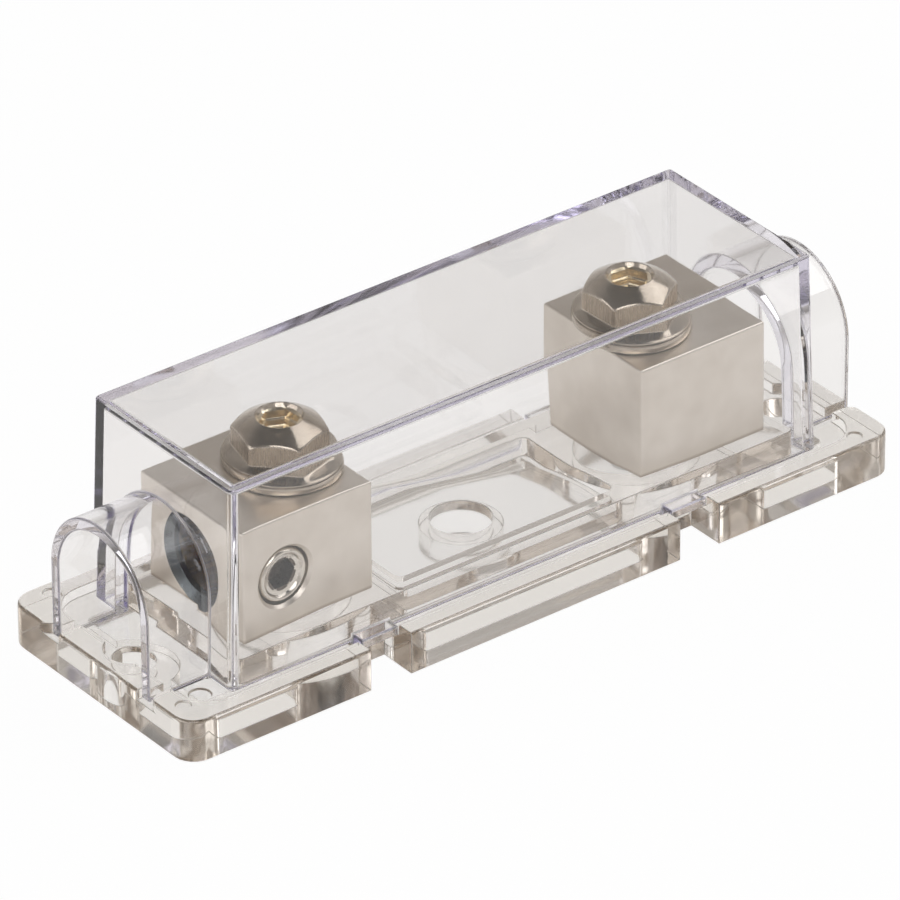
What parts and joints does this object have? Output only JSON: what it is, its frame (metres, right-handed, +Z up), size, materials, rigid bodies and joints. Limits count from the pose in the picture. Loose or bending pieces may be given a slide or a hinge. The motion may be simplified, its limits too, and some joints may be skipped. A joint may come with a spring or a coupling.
{
  "type": "fuse holder",
  "caption": "Clear in-line holder for a bolt-down strip fuse: flat screw-down base, terminal blocks with cable bores, lift-off cover with arched cable hoods.",
  "frame": {"origin": "middle of the base's flat underside", "axes": "+X along the holder from one cable hood to the other, +Y across it, +Z up from the base to the cover"},
  "size_m": [0.1238, 0.0414, 0.037],
  "materials": {
    "base_plastic": "clear moulded polycarbonate",
    "cover_plastic": "clear moulded polycarbonate",
    "block_plate": "satin nickel plate on brass",
    "screw_plate": "bright nickel plate on steel"
  },
  "bodies": {
    "holder": {"base": "base_plastic", "terminal_block_left": "block_plate", "terminal_block_right": "block_plate", "block_screw_left": "screw_plate", "block_screw_right": "screw_plate"},
    "cover": {"cover": "cover_plastic"},
    "washer_left": {"bolt_washer_left": "screw_plate"},
    "washer_right": {"bolt_washer_right": "screw_plate"},
    "bolt_left": {"fuse_bolt_left": "screw_plate"},
    "bolt_right": {"fuse_bolt_right": "screw_plate"},
    "grub_left": {"cable_grub_screw_left": "screw_plate"},
    "grub_right": {"cable_grub_screw_right": "screw_plate"}
  },
  "joints": [
    {"name": "cover_lift", "type": "slide", "parent": "holder", "child": "cover", "axis": [0, 0, 1], "range_m": [0, 0.035]},
    {"name": "bolt_left_rise", "type": "slide", "parent": "holder", "child": "washer_left", "axis": [0, 0, 1], "range_m": [0, 0.0018]},
    {"name": "bolt_left_turn", "type": "hinge", "parent": "washer_left", "child": "bolt_left", "pos_m": [-0.0305, 0, 0.0277], "axis": [0, 0, 1], "range_deg": [0, 520]},
    {"name": "bolt_right_rise", "type": "slide", "parent": "holder", "child": "washer_right", "axis": [0, 0, 1], "range_m": [0, 0.0018]},
    {"name": "bolt_right_turn", "type": "hinge", "parent": "washer_right", "child": "bolt_right", "pos_m": [0.0305, 0, 0.0277], "axis": [0, 0, 1], "range_deg": [0, 520]},
    {"name": "grub_left_travel", "type": "slide", "parent": "holder", "child": "grub_left", "axis": [0, 1, 0], "range_m": [0, 0.007]},
    {"name": "grub_right_travel", "type": "slide", "parent": "holder", "child": "grub_right", "axis": [0, -1, 0], "range_m": [0, 0.007]}
  ],
  "couplings": [
    {"joint": "bolt_left_turn", "follows": "bolt_left_rise", "rad_per_m": 5026.5},
    {"joint": "bolt_right_turn", "follows": "bolt_right_rise", "rad_per_m": 5026.5}
  ]
}
